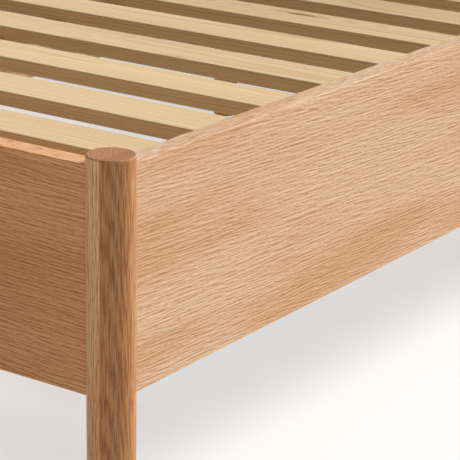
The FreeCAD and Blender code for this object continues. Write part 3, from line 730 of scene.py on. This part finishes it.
class BED_OT_posts(bpy.types.Operator):
    """Turned oak posts, each glued up from two staves"""

    bl_idname = "bed.posts"
    bl_label = "Posts"

    def execute(self, context):
        ring_width = context.scene.bed_oak.post_ring
        light = (0.99, 0.91, 0.74)
        # The brown front stave is partly a darker stave of its own and partly painted shade: its tint is made
        # deeper and browner than the wood, to stand in for shade on that face.
        brown_with_painted_shade = (0.58, 0.40, 0.21)
        joint = -0.00545
        fore = (None, (0.0475, 0.0155), 0.0, -0.060, 0.75)
        rear = (joint, (0.090, -0.120), 0.0, 0.004, 0.40)
        turns = {
            "foot_post_right": 0.0,
            "foot_post_left": math.radians(140.0),
            "head_post_right": math.radians(-75.0),
            "head_post_left": math.radians(205.0),
        }
        for number, (node, turned) in enumerate(turns.items()):
            shift = 3.7 * number
            staves = ((*fore, shift, brown_with_painted_shade), (*rear, shift + 1.9, light))
            material = oak_material(
                "oak_" + node, node, "Z", ring_width, 0.0, POST_STREAKS, staves, turned, True
            )
            dress([node], material)
        return {"FINISHED"}


class BED_OT_boards(bpy.types.Operator):
    """Wide oak rails and the headboard"""

    bl_idname = "bed.boards"
    bl_label = "Rails and headboard"

    def execute(self, context):
        ring_width = context.scene.bed_oak.board_ring
        fair = (0.81, 0.80, 0.79)
        # The warm tint, used only for the foot rail, is partly the board's own deeper tone and partly painted
        # shade: it darkens and deepens that board to stand in for the shade on its face and the shadow on its
        # top edge.
        warm = (0.90, 0.69, 0.47)
        boards = (
            ("side_rail_right", "Y", ((None, (0.060, 0.165), -0.006, -0.010, 0.50, 0.0, fair),)),
            ("side_rail_left", "Y", ((None, (-0.070, -0.150), 0.008, 0.012, 0.50, 5.3, fair),)),
            ("foot_rail", "X", ((None, (0.075, 0.180), 0.005, 0.010, 0.50, 8.1, warm),)),
            ("head_rail", "X", ((None, (-0.065, -0.170), -0.008, 0.012, 0.50, 11.7, fair),)),
            (
                "headboard_panel",
                "X",
                (
                    (None, (0.050, -0.180), 0.015, 0.022, 0.65, 14.2, fair),
                    (-0.0765, (0.040, 0.010), -0.010, 0.028, 0.65, 17.9, (0.80, 0.78, 0.75)),
                    (0.0765, (0.070, 0.260), 0.018, -0.020, 0.65, 21.3, fair),
                ),
            ),
        )
        for node, run, staves in boards:
            material = oak_material(
                "oak_" + node, node, run, ring_width, BOARD_SLANT, BOARD_STREAKS, staves
            )
            dress([node], material)
        return {"FINISHED"}


class BED_OT_slats(bpy.types.Operator):
    """Loose softwood slats, each with grain of its own"""

    bl_idname = "bed.slats"
    bl_label = "Slats"

    def execute(self, context):
        wood = context.scene.bed_softwood
        names = slat_names()
        low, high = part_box(names[0])
        first = (low + high) / 2
        low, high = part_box(names[-1])
        pitch = ((low + high) / 2 - first).y / (len(names) - 1)
        material, wires, shader = new_material("slat_wood")
        source = wires.node("ShaderNodeTexCoord", {}).outputs
        along, over, up = wires.split(source["Object"])
        rows = wires.calc("DIVIDE", wires.calc("SUBTRACT", over, first.y), pitch)
        row = wires.calc("ROUND", rows)
        over = wires.calc("MULTIPLY", wires.calc("SUBTRACT", rows, row), pitch)
        luck = wires.node("ShaderNodeTexWhiteNoise", {"W": row}, noise_dimensions="1D")
        red, green, blue = wires.split(luck.outputs["Color"])
        along = wires.calc("MULTIPLY_ADD", red, 40.0, along)
        through = wires.calc("ADD", wires.calc("SUBTRACT", up, first.z), wires.swing(green, 0.05))
        over = wires.calc("ADD", over, wires.swing(blue, 0.06))
        place = wires.join(along, through, over)
        looks = softwood_looks(place, wires, wood.slat_pale, wood.slat_late, 1.0, (0.085, 0.0))
        shade = wires.calc("MULTIPLY_ADD", green, 0.16, 0.88)
        colour = wires.mix(1.0, looks["Color"], wires.join(shade, shade, shade), "MULTIPLY")
        end = wires.step(wires.calc("ABSOLUTE", wires.split(source["Normal"])[0]), 0.55, 0.92)
        colour = wires.mix(wires.calc("MULTIPLY", end, 0.55), colour, tuple(wood.rail_late))
        rough = wires.calc("MULTIPLY_ADD", looks["Lines"], -0.14, wood.roughness)
        finish_material(wires, shader, colour, rough, looks["Height"], wood.bump)
        dress(names, material)
        return {"FINISHED"}


class BED_OT_supports(bpy.types.Operator):
    """Ledgers, centre beam and its turned legs"""

    bl_idname = "bed.supports"
    bl_label = "Supports"

    def execute(self, context):
        wood = context.scene.bed_softwood
        supports = (
            ("side_ledger_left", "Y", wood.rail_pale, wood.rail_late, 1.0, (0.070, 0.030), 2.2),
            ("side_ledger_right", "Y", wood.rail_pale, wood.rail_late, 1.0, (-0.060, 0.040), 6.9),
            ("centre_beam", "Y", wood.rail_pale, wood.rail_late, 1.0, (0.050, -0.080), 9.4),
            ("centre_leg_foot", "Z", wood.leg_pale, wood.leg_late, 0.0, (0.045, 0.020), 3.1),
            ("centre_leg_head", "Z", wood.leg_pale, wood.leg_late, 0.0, (-0.030, 0.050), 7.7),
        )
        for node, run, pale, late, knots, pith, shift in supports:
            material, wires, shader = new_material("softwood_" + node)
            place, end, half = grain_place(wires, node, run)
            moved = wires.mapped(place, (shift, 0.0, 0.0))
            looks = softwood_looks(moved, wires, pale, late, knots, pith)
            ended = wires.mix(0.55, looks["Color"], tuple(late), "MULTIPLY")
            colour = wires.mix(end, looks["Color"], ended)
            worn = wires.group(
                shared_group("Edge wear", build_edge_wear),
                {"Place": place, "Half Size": half, "Width": SUPPORT_WEAR},
            )["Wear"]
            colour = wires.mix(wires.calc("MULTIPLY", worn, 0.35), colour, tuple(pale))
            rough = wires.calc("MULTIPLY_ADD", looks["Lines"], -0.14, wood.roughness)
            finish_material(wires, shader, colour, rough, looks["Height"], wood.bump)
            dress([node], material)
        return {"FINISHED"}


class BED_OT_straps(bpy.types.Operator):
    """Webbing straps laid over the slats and stapled to each of them"""

    bl_idname = "bed.straps"
    bl_label = "Slat straps"

    def execute(self, context):
        strap = context.scene.bed_strap
        slats = slat_names()
        spans = [(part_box(name)[0].y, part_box(name)[1].y) for name in slats]
        for side in ("left", "right"):
            node = "slat_strap_" + side
            low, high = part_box(node)
            piece = self.webbing(strap, "webbing_" + side, low, high, spans)
            piece.data.materials.append(self.woven(strap, (low + high) / 2, node))
            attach(piece, "slat_base")
            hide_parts(node)
        return {"FINISHED"}

    def flat_length(self, spans, length, sag):
        """Length of the webbing before it was laid over the gaps."""
        gaps = [after[0] - before[1] for before, after in zip(spans, spans[1:])]
        return length + sum(8 * sag * sag / (3 * gap) for gap in gaps)

    def drop(self, spans, sag, y):
        """How far the webbing hangs at a place along the bed."""
        for before, after in zip(spans, spans[1:]):
            if before[1] < y < after[0]:
                share = (y - before[1]) / (after[0] - before[1])
                return 4 * sag * share * (1 - share)
        return 0.0

    def webbing(self, strap, name, low, high, spans):
        """One strap: a grid at its size, draped over the slats, with thicker woven edges."""
        bpy.ops.object.select_all(action="DESELECT")
        length = high.y - low.y
        width = high.x - low.x
        bpy.ops.mesh.primitive_grid_add(
            x_subdivisions=strap.columns,
            y_subdivisions=round(length / strap.step),
            size=1.0,
            location=(0.0, 0.0, 0.0),
        )
        piece = bpy.context.object
        piece.name = name
        bpy.ops.object.mode_set(mode="EDIT")
        bpy.ops.mesh.select_all(action="SELECT")
        bpy.ops.transform.resize(value=(width, length, 1.0))
        middle = ((low.x + high.x) / 2, (low.y + high.y) / 2, low.z)
        bpy.ops.transform.translate(value=middle)
        bpy.ops.object.mode_set(mode="OBJECT")
        for point in piece.data.vertices:
            point.co.z = low.z - self.drop(spans, strap.sag, point.co.y)
        wall = piece.modifiers.new("wall", "SOLIDIFY")
        wall.thickness = high.z - low.z
        wall.offset = 1.0
        bpy.ops.object.modifier_apply(modifier="wall")
        edge = width / 2 - width / strap.columns
        half = (high.z - low.z) / 2
        for point in piece.data.vertices:
            top = point.co.z > low.z - self.drop(spans, strap.sag, point.co.y) + half
            if top and abs(point.co.x - middle[0]) > edge:
                point.co.z += strap.selvedge
        bpy.ops.object.shade_smooth_by_angle(angle=SMOOTH_ANGLE)
        return piece

    def woven(self, strap, middle, name):
        """Woven polyester webbing with ribbed edges, painted shade in the gaps between its yarns, and a little
        soiling.
        """
        material, wires, shader = new_material("woven_" + name)
        source = wires.node("ShaderNodeTexCoord", {}).outputs
        place = wires.mapped(source["Object"], (-middle.x, 0.0, 0.0))
        weave = wires.group(
            shared_group("Weave", build_weave),
            {"Place": place, "Warp": strap.warp_width, "Weft": strap.weft_width},
        )
        soil = wires.noise(place, (30.0, 6.0, 30.0), 3.0)
        # Painted shade: the gaps between yarns are darkened toward the shadow colour; the same colour then
        # darkens some threads and the soiling.
        colour = wires.mix(wires.calc("MULTIPLY", weave["Gap"], 0.7), tuple(strap.yarn), tuple(strap.shadow))
        colour = wires.mix(wires.swing(weave["Thread"], 0.25), colour, tuple(strap.shadow))
        soiled = wires.calc("MULTIPLY", wires.step(soil, 0.5, 0.8), 0.25)
        colour = wires.mix(soiled, colour, tuple(strap.shadow))
        rough = wires.calc("MULTIPLY_ADD", weave["Gap"], 0.12, 0.78)
        finish_material(wires, shader, colour, rough, weave["Height"], WEBBING_BUMP)
        return material


class BED_OT_fittings(bpy.types.Operator):
    """Zinc, brass and coated steel fittings, wooden dowels and pegs"""

    bl_idname = "bed.fittings"
    bl_label = "Fittings"

    def execute(self, context):
        fittings = context.scene.bed_fittings
        zinc = (
            "rail_studs",
            "crescent_washers",
            "stud_nuts",
            "ledger_screws",
            "hanger_screws",
            "leg_studs",
            "leg_nuts",
            "adjuster_stem_foot",
            "adjuster_stem_head",
        )
        dress(zinc, self.metal("zinc_plate", fittings.zinc, 0.34))
        dress(["strap_staples"], self.metal("staple_wire", fittings.staple, 0.38))
        dress(["post_inserts", "beam_inserts"], self.metal("turned_brass", fittings.brass, 0.30))
        coat = moulded("powder_coat", fittings.coat, 900.0, 0.52, 0.00012)
        dress(["beam_hanger_foot", "beam_hanger_head"], coat)
        dress(["locating_dowels", "slat_pegs"], self.beech(fittings))
        return {"FINISHED"}

    def metal(self, name, colour, rough):
        """Plated or drawn metal."""
        material, wires, shader = new_material(name)
        shader.inputs["Metallic"].default_value = 1.0
        source = wires.node("ShaderNodeTexCoord", {}).outputs
        wear = wires.group(
            shared_group("Metal wear", build_metal_wear),
            {"Place": source["Object"], "Metal": tuple(colour), "Rough": rough},
        )
        finish_material(wires, shader, wear["Color"], wear["Roughness"], wear["Height"], METAL_BUMP)
        return material

    def beech(self, fittings):
        """Plain beech of the dowels and pegs."""
        material, wires, shader = new_material("beech")
        source = wires.node("ShaderNodeTexCoord", {}).outputs
        fleck = wires.noise(source["Object"], (420.0, 420.0, 420.0), 2.0)
        cloud = wires.noise(source["Object"], (60.0, 60.0, 60.0), 2.0)
        shade = wires.calc("MULTIPLY", wires.calc("ADD", wires.step(fleck, 0.48, 0.66), cloud), 0.6)
        colour = wires.mix(shade, tuple(fittings.beech), tuple(fittings.beech_late))
        rough = wires.calc("MULTIPLY_ADD", fleck, 0.15, 0.50)
        finish_material(wires, shader, colour, rough, fleck, BEECH_BUMP)
        return material


def moulded(name, colour, grain, rough, depth):
    """Moulded nylon or powder coat with a fine surface texture."""
    material, wires, shader = new_material(name)
    source = wires.node("ShaderNodeTexCoord", {}).outputs
    looks = wires.group(
        shared_group("Fine texture", build_fine_texture),
        {"Place": source["Object"], "Grain": grain, "Paint": tuple(colour), "Rough": rough},
    )
    finish_material(wires, shader, looks["Color"], looks["Roughness"], looks["Height"], depth)
    return material


class BED_OT_feet(bpy.types.Operator):
    """Nylon glides under the posts and pads under the centre legs"""

    bl_idname = "bed.feet"
    bl_label = "Glides and pads"

    def execute(self, context):
        nylon = moulded("nylon", context.scene.bed_fittings.nylon, 1500.0, 0.48, 0.00006)
        feet = [name for name in NODES if "_glide_" in name or name.startswith("adjuster_pad")]
        dress(feet, nylon)
        return {"FINISHED"}


class BED_OT_stage(bpy.types.Operator):
    """Pale floor, soft light, white surround and the camera"""

    bl_idname = "bed.stage"
    bl_label = "Stage"

    def execute(self, context):
        stage = context.scene.bed_stage
        self.floor(stage)
        self.lights(context, stage)
        self.camera(context, stage)
        context.scene.view_settings.view_transform = "Standard"
        return {"FINISHED"}

    def floor(self, stage):
        """A wide pale floor that keeps the bed's shadow and fades to white far out."""
        bpy.ops.object.select_all(action="DESELECT")
        bpy.ops.mesh.primitive_plane_add(size=stage.floor_size)
        floor = bpy.context.object
        floor.name = "stage_floor"
        material, wires, shader = new_material("stage_floor")
        source = wires.node("ShaderNodeTexCoord", {}).outputs
        away = wires.node("ShaderNodeVectorMath", {0: source["Object"]}, operation="LENGTH").outputs["Value"]
        wires.give(shader.inputs["Roughness"], FLOOR_ROUGHNESS)
        white = wires.node("ShaderNodeEmission", {"Color": (1.0, 1.0, 1.0), "Strength": 1.0})
        path, seen = seen_rays(wires)
        shade = wires.mix(path["Is Camera Ray"], tuple(stage.floor_glow), tuple(stage.floor))
        wires.give(shader.inputs["Base Color"], shade)
        plain = wires.calc("SUBTRACT", 1.0, stage.shadow)
        bright = wires.between(wires.step(away, FADE_START, FADE_END), plain, 1.0)
        shown = wires.calc("MULTIPLY", seen, bright)
        lit = wires.node("ShaderNodeMixShader", {0: shown, 1: shader.outputs[0], 2: white.outputs[0]})
        clear = wires.node("ShaderNodeBsdfTransparent", {})
        back = wires.node("ShaderNodeNewGeometry", {}).outputs["Backfacing"]
        both = wires.node("ShaderNodeMixShader", {0: back, 1: lit.outputs[0], 2: clear.outputs[0]})
        wires.give(wires.tree.nodes["Material Output"].inputs["Surface"], both.outputs[0])
        floor.data.materials.append(material)

    def lights(self, context, stage):
        """One soft key light and an even fill, with white where the camera sees no floor."""
        bpy.ops.object.light_add(type="SUN", location=(4.0, 2.0, 6.0))
        key = bpy.context.object
        key.name = "key_light"
        key.data.energy = stage.key
        key.data.angle = stage.key_spread
        key.rotation_euler = Vector(stage.key_from).to_track_quat("Z", "Y").to_euler()
        world = bpy.data.worlds.new("surround")
        context.scene.world = world
        world.use_nodes = True
        wires = Wiring(world.node_tree)
        seen = seen_rays(wires)[1]
        ground = world.node_tree.nodes["Background"]
        wires.give(ground.inputs["Color"], wires.mix(seen, tuple(stage.fill_tone), (1.0, 1.0, 1.0)))
        wires.give(ground.inputs["Strength"], wires.between(seen, stage.fill, 1.0))

    def camera(self, context, stage):
        """The camera at the photograph's angle."""
        bpy.ops.object.camera_add()
        camera = bpy.context.object
        camera.name = "camera"
        turn = Matrix.Rotation(stage.yaw, 4, "Z")
        tilt = Matrix.Rotation(math.pi / 2 - stage.pitch, 4, "X")
        roll = Matrix.Rotation(stage.roll, 4, "Z")
        camera.matrix_world = Matrix.Translation(Vector(stage.eye)) @ turn @ tilt @ roll
        camera.data.sensor_width = SENSOR_WIDTH
        camera.data.lens = stage.lens
        camera.data.clip_start = CLIP_NEAR
        camera.data.clip_end = CLIP_FAR
        context.scene.camera = camera


class BED_PT_panel(bpy.types.Panel):
    """Lists the pieces of the bed frame and their settings"""

    bl_idname = "BED_PT_panel"
    bl_label = "Bed Frame"
    bl_space_type = "VIEW_3D"
    bl_region_type = "UI"
    bl_category = "Bed Frame"

    def draw(self, context):
        layout = self.layout
        for operator in OPERATORS:
            layout.operator(operator.bl_idname)
        for key, group in SETTINGS.items():
            box = layout.box()
            settings = getattr(context.scene, key)
            for name in group.__annotations__:
                box.prop(settings, name)


SETTINGS = {
    "bed_oak": BedOak,
    "bed_softwood": BedSoftwood,
    "bed_strap": BedStrap,
    "bed_fittings": BedFittings,
    "bed_stage": BedStage,
}
OPERATORS = (
    BED_OT_posts,
    BED_OT_boards,
    BED_OT_slats,
    BED_OT_supports,
    BED_OT_straps,
    BED_OT_fittings,
    BED_OT_feet,
    BED_OT_stage,
)


def register():
    """Registers the settings, the operators and the panel."""
    for key, group in SETTINGS.items():
        bpy.utils.register_class(group)
        setattr(bpy.types.Scene, key, PointerProperty(type=group))
    for operator in OPERATORS:
        bpy.utils.register_class(operator)
    bpy.utils.register_class(BED_PT_panel)


def unregister():
    """Takes everything out again in the opposite order."""
    bpy.utils.unregister_class(BED_PT_panel)
    for operator in reversed(OPERATORS):
        bpy.utils.unregister_class(operator)
    for key, group in reversed(SETTINGS.items()):
        delattr(bpy.types.Scene, key)
        bpy.utils.unregister_class(group)


def main():
    """Registers the add-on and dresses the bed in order."""
    register()
    bpy.ops.bed.posts()
    bpy.ops.bed.boards()
    bpy.ops.bed.slats()
    bpy.ops.bed.supports()
    bpy.ops.bed.straps()
    bpy.ops.bed.fittings()
    bpy.ops.bed.feet()
    bpy.ops.bed.stage()


if __name__ == "__main__":
    main()
